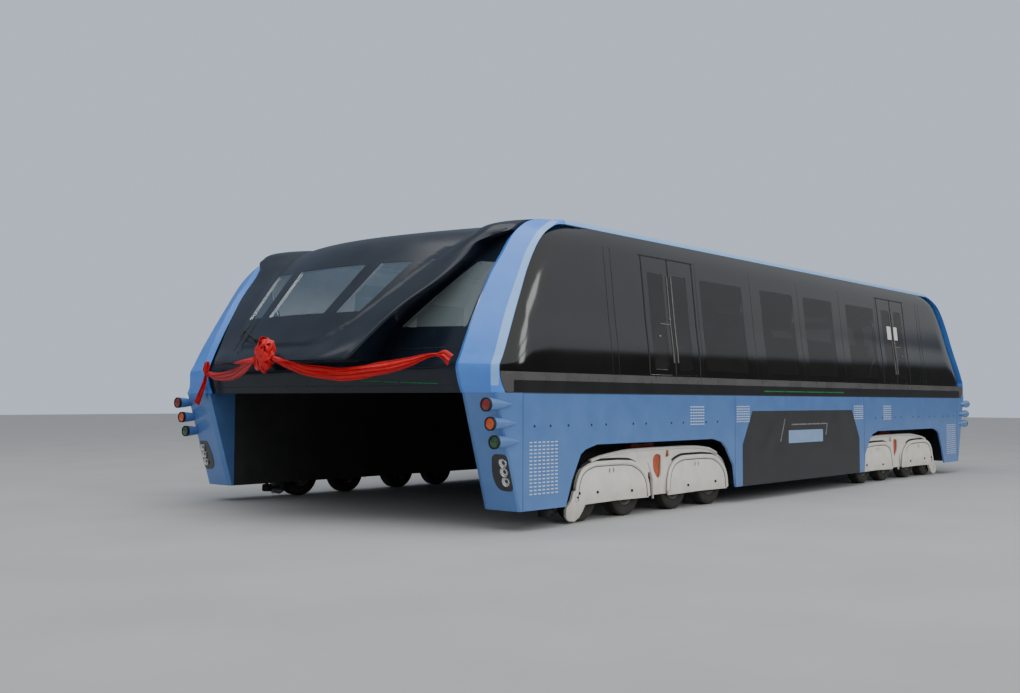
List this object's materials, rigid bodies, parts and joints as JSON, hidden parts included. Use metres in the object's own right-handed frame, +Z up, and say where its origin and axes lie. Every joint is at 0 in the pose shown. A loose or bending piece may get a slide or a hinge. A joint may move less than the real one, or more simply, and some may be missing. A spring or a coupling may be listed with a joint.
{
  "type": "straddling bus",
  "caption": "Wide passenger cabin on two full-length hollow legs over an open traffic lane, with raked bulging noses, flush doors and swivelling wheel bogies under ivory covers",
  "frame": {"origin": "centre of the footprint, at ground level under the tyres", "axes": "+X forward along the vehicle, +Y to its left, +Z up"},
  "size_m": [22.1, 7.976, 4.8],
  "materials": {
    "deck_paint": "satin grey paint",
    "structure_paint": "satin dark paint",
    "body_blue": "semi-gloss blue paint",
    "roof_dark": "satin dark paint",
    "wall_dark": "gloss dark panel",
    "tinted_glass": "tinted glass",
    "door_glass": "dark tinted glass",
    "nose_slate": "gloss slate paint",
    "screen_glass": "clear glass with a grey-blue tint",
    "wiper_black": "matt black",
    "seat_plastic": "moulded plastic",
    "desk_plastic": "grained plastic",
    "cover_ivory": "ivory paint",
    "tyre_rubber": "black tyre",
    "sash_red": "satin red cloth"
  },
  "bodies": {
    "bus_body": {"bench_left": "seat_plastic", "bench_right": "seat_plastic", "cant_rail_left": "body_blue", "cant_rail_right": "body_blue", "corner_frame_front_left": "body_blue", "corner_frame_front_right": "body_blue", "corner_frame_rear_left": "body_blue", "corner_frame_rear_right": "body_blue", "deck_frame": "deck_paint", "door_leaf_front_left_inner": "door_glass", "door_leaf_front_left_outer": "door_glass", "door_leaf_front_right_inner": "door_glass", "door_leaf_front_right_outer": "door_glass", "door_leaf_rear_left_inner": "door_glass", "door_leaf_rear_left_outer": "door_glass", "door_leaf_rear_right_inner": "door_glass", "door_leaf_rear_right_outer": "door_glass", "driver_desk_front": "desk_plastic", "driver_desk_rear": "desk_plastic", "leg_panel_left": "body_blue", "leg_panel_right": "body_blue", "leg_structure_left": "structure_paint", "leg_structure_right": "structure_paint", "nose_shell_front": "nose_slate", "nose_shell_rear": "nose_slate", "quarter_window_front_left": "screen_glass", "quarter_window_front_right": "screen_glass", "quarter_window_rear_left": "screen_glass", "quarter_window_rear_right": "screen_glass", "red_sash": "sash_red", "roof_skin": "roof_dark", "side_glass_left": "tinted_glass", "side_glass_right": "tinted_glass", "side_wall_left": "wall_dark", "side_wall_right": "wall_dark", "windscreen_front": "screen_glass", "windscreen_rear": "screen_glass"},
    "bogie_front_left": {"bogie_front_left": "cover_ivory"},
    "wheel_front_left_1": {"wheel_front_left_1": "tyre_rubber"},
    "wheel_front_left_2": {"wheel_front_left_2": "tyre_rubber"},
    "wheel_front_left_3": {"wheel_front_left_3": "tyre_rubber"},
    "wheel_front_left_4": {"wheel_front_left_4": "tyre_rubber"},
    "bogie_front_right": {"bogie_front_right": "cover_ivory"},
    "wheel_front_right_1": {"wheel_front_right_1": "tyre_rubber"},
    "wheel_front_right_2": {"wheel_front_right_2": "tyre_rubber"},
    "wheel_front_right_3": {"wheel_front_right_3": "tyre_rubber"},
    "wheel_front_right_4": {"wheel_front_right_4": "tyre_rubber"},
    "bogie_rear_left": {"bogie_rear_left": "cover_ivory"},
    "wheel_rear_left_1": {"wheel_rear_left_1": "tyre_rubber"},
    "wheel_rear_left_2": {"wheel_rear_left_2": "tyre_rubber"},
    "wheel_rear_left_3": {"wheel_rear_left_3": "tyre_rubber"},
    "wheel_rear_left_4": {"wheel_rear_left_4": "tyre_rubber"},
    "bogie_rear_right": {"bogie_rear_right": "cover_ivory"},
    "wheel_rear_right_1": {"wheel_rear_right_1": "tyre_rubber"},
    "wheel_rear_right_2": {"wheel_rear_right_2": "tyre_rubber"},
    "wheel_rear_right_3": {"wheel_rear_right_3": "tyre_rubber"},
    "wheel_rear_right_4": {"wheel_rear_right_4": "tyre_rubber"},
    "wiper_front": {"wiper_front": "wiper_black"},
    "wiper_rear": {"wiper_rear": "wiper_black"}
  },
  "joints": [
    {"name": "bogie_front_left_swivel", "type": "hinge", "parent": "bus_body", "child": "bogie_front_left", "pos_m": [5.4, 3.52, 1.2], "axis": [0, 0, 1], "range_deg": [-2, 2]},
    {"name": "wheel_front_left_1_spin", "type": "hinge", "parent": "bogie_front_left", "child": "wheel_front_left_1", "pos_m": [7.36, 3.522, 0.42], "axis": [0, 1, 0], "continuous": true},
    {"name": "wheel_front_left_2_spin", "type": "hinge", "parent": "bogie_front_left", "child": "wheel_front_left_2", "pos_m": [6.14, 3.522, 0.42], "axis": [0, 1, 0], "continuous": true},
    {"name": "wheel_front_left_3_spin", "type": "hinge", "parent": "bogie_front_left", "child": "wheel_front_left_3", "pos_m": [4.66, 3.522, 0.42], "axis": [0, 1, 0], "continuous": true},
    {"name": "wheel_front_left_4_spin", "type": "hinge", "parent": "bogie_front_left", "child": "wheel_front_left_4", "pos_m": [3.44, 3.522, 0.42], "axis": [0, 1, 0], "continuous": true},
    {"name": "bogie_front_right_swivel", "type": "hinge", "parent": "bus_body", "child": "bogie_front_right", "pos_m": [5.4, -3.52, 1.2], "axis": [0, 0, 1], "range_deg": [-2, 2]},
    {"name": "wheel_front_right_1_spin", "type": "hinge", "parent": "bogie_front_right", "child": "wheel_front_right_1", "pos_m": [7.36, -3.522, 0.42], "axis": [0, 1, 0], "continuous": true},
    {"name": "wheel_front_right_2_spin", "type": "hinge", "parent": "bogie_front_right", "child": "wheel_front_right_2", "pos_m": [6.14, -3.522, 0.42], "axis": [0, 1, 0], "continuous": true},
    {"name": "wheel_front_right_3_spin", "type": "hinge", "parent": "bogie_front_right", "child": "wheel_front_right_3", "pos_m": [4.66, -3.522, 0.42], "axis": [0, 1, 0], "continuous": true},
    {"name": "wheel_front_right_4_spin", "type": "hinge", "parent": "bogie_front_right", "child": "wheel_front_right_4", "pos_m": [3.44, -3.522, 0.42], "axis": [0, 1, 0], "continuous": true},
    {"name": "bogie_rear_left_swivel", "type": "hinge", "parent": "bus_body", "child": "bogie_rear_left", "pos_m": [-5.5, 3.52, 1.2], "axis": [0, 0, 1], "range_deg": [-2, 2]},
    {"name": "wheel_rear_left_1_spin", "type": "hinge", "parent": "bogie_rear_left", "child": "wheel_rear_left_1", "pos_m": [-7.46, 3.522, 0.42], "axis": [0, 1, 0], "continuous": true},
    {"name": "wheel_rear_left_2_spin", "type": "hinge", "parent": "bogie_rear_left", "child": "wheel_rear_left_2", "pos_m": [-6.24, 3.522, 0.42], "axis": [0, 1, 0], "continuous": true},
    {"name": "wheel_rear_left_3_spin", "type": "hinge", "parent": "bogie_rear_left", "child": "wheel_rear_left_3", "pos_m": [-4.76, 3.522, 0.42], "axis": [0, 1, 0], "continuous": true},
    {"name": "wheel_rear_left_4_spin", "type": "hinge", "parent": "bogie_rear_left", "child": "wheel_rear_left_4", "pos_m": [-3.54, 3.522, 0.42], "axis": [0, 1, 0], "continuous": true},
    {"name": "bogie_rear_right_swivel", "type": "hinge", "parent": "bus_body", "child": "bogie_rear_right", "pos_m": [-5.5, -3.52, 1.2], "axis": [0, 0, 1], "range_deg": [-2, 2]},
    {"name": "wheel_rear_right_1_spin", "type": "hinge", "parent": "bogie_rear_right", "child": "wheel_rear_right_1", "pos_m": [-7.46, -3.522, 0.42], "axis": [0, 1, 0], "continuous": true},
    {"name": "wheel_rear_right_2_spin", "type": "hinge", "parent": "bogie_rear_right", "child": "wheel_rear_right_2", "pos_m": [-6.24, -3.522, 0.42], "axis": [0, 1, 0], "continuous": true},
    {"name": "wheel_rear_right_3_spin", "type": "hinge", "parent": "bogie_rear_right", "child": "wheel_rear_right_3", "pos_m": [-4.76, -3.522, 0.42], "axis": [0, 1, 0], "continuous": true},
    {"name": "wheel_rear_right_4_spin", "type": "hinge", "parent": "bogie_rear_right", "child": "wheel_rear_right_4", "pos_m": [-3.54, -3.522, 0.42], "axis": [0, 1, 0], "continuous": true},
    {"name": "wiper_front_sweep", "type": "hinge", "parent": "bus_body", "child": "wiper_front", "pos_m": [10.589, -0.5, 2.86], "axis": [0.742, -0.0594, 0.6678], "range_deg": [-60, 0]},
    {"name": "wiper_rear_sweep", "type": "hinge", "parent": "bus_body", "child": "wiper_rear", "pos_m": [-10.689, 0.5, 2.86], "axis": [-0.742, 0.0594, 0.6678], "range_deg": [-60, 0]}
  ]
}
